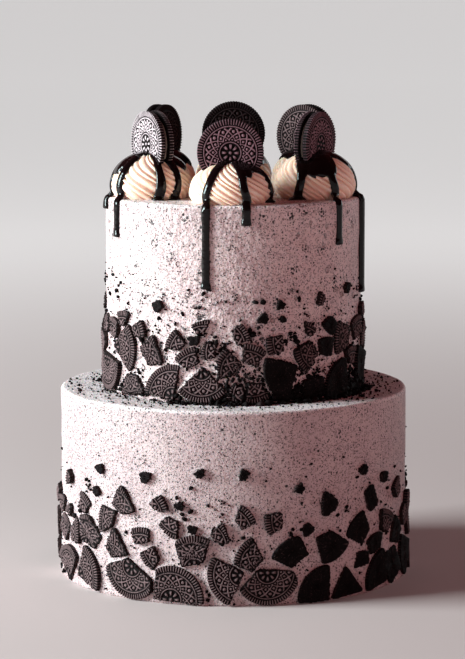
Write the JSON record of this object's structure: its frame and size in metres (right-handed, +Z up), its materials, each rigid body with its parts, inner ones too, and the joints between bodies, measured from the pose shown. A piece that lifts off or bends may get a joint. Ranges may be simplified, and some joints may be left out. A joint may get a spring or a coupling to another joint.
{
  "type": "two-tier cookies and cream cookie cake",
  "caption": "Uncut two-tier layer cake in speckled cookies and cream frosting, with broken wafers round its feet, chocolate drips and piped swirls holding whole sandwich cookies",
  "frame": {"origin": "centre of the lower tier's flat underside, on the surface that the cake stands on", "axes": "+Z up; -Y towards the viewer of the front view, the side that the front cookie faces; +X to that viewer's right"},
  "size_m": [0.2466, 0.2488, 0.3204],
  "materials": {
    "speckled_frosting": "soft matte cream frosting full of fine dark cookie crumbs",
    "piped_cream": "smooth ivory piped cream with a faint sheen",
    "chocolate_wafer": "dry, matte, near-black baked chocolate wafer, embossed",
    "cookie_cream": "matte beige sandwich filling, dulled by wafer dust",
    "dark_chocolate": "wet, glossy dark chocolate sauce"
  },
  "bodies": {
    "root": {"cookie_1_back_wafer": "chocolate_wafer", "cookie_1_cream": "cookie_cream", "cookie_1_face_wafer": "chocolate_wafer", "cookie_2_back_wafer": "chocolate_wafer", "cookie_2_cream": "cookie_cream", "cookie_2_face_wafer": "chocolate_wafer", "cookie_3_back_wafer": "chocolate_wafer", "cookie_3_cream": "cookie_cream", "cookie_3_face_wafer": "chocolate_wafer", "cookie_4_back_wafer": "chocolate_wafer", "cookie_4_cream": "cookie_cream", "cookie_4_face_wafer": "chocolate_wafer", "cookie_5_back_wafer": "chocolate_wafer", "cookie_5_cream": "cookie_cream", "cookie_5_face_wafer": "chocolate_wafer", "cookie_6_back_wafer": "chocolate_wafer", "cookie_6_cream": "cookie_cream", "cookie_6_face_wafer": "chocolate_wafer", "lower_piece_01": "chocolate_wafer", "lower_piece_02": "chocolate_wafer", "lower_piece_03": "chocolate_wafer", "lower_piece_04": "chocolate_wafer", "lower_piece_05": "chocolate_wafer", "lower_piece_06": "chocolate_wafer", "lower_piece_07": "chocolate_wafer", "lower_piece_08": "chocolate_wafer", "lower_piece_09": "chocolate_wafer", "lower_piece_10": "chocolate_wafer", "lower_piece_11": "chocolate_wafer", "lower_piece_12": "chocolate_wafer", "lower_piece_13": "chocolate_wafer", "lower_piece_14": "chocolate_wafer", "lower_piece_15": "chocolate_wafer", "lower_piece_16": "chocolate_wafer", "lower_piece_17": "chocolate_wafer", "lower_piece_18": "chocolate_wafer", "lower_piece_19": "chocolate_wafer", "lower_piece_20": "chocolate_wafer", "lower_tier": "speckled_frosting", "swirl_1": "piped_cream", "swirl_2": "piped_cream", "swirl_3": "piped_cream", "swirl_4": "piped_cream", "swirl_5": "piped_cream", "swirl_6": "piped_cream", "upper_piece_01": "chocolate_wafer", "upper_piece_02": "chocolate_wafer", "upper_piece_03": "chocolate_wafer", "upper_piece_04": "chocolate_wafer", "upper_piece_05": "chocolate_wafer", "upper_piece_06": "chocolate_wafer", "upper_piece_07": "chocolate_wafer", "upper_piece_08": "chocolate_wafer", "upper_piece_09": "chocolate_wafer", "upper_piece_10": "chocolate_wafer", "upper_piece_11": "chocolate_wafer", "upper_piece_12": "chocolate_wafer", "upper_piece_13": "chocolate_wafer", "upper_piece_14": "chocolate_wafer", "upper_tier": "speckled_frosting"}
  },
  "joints": []
}
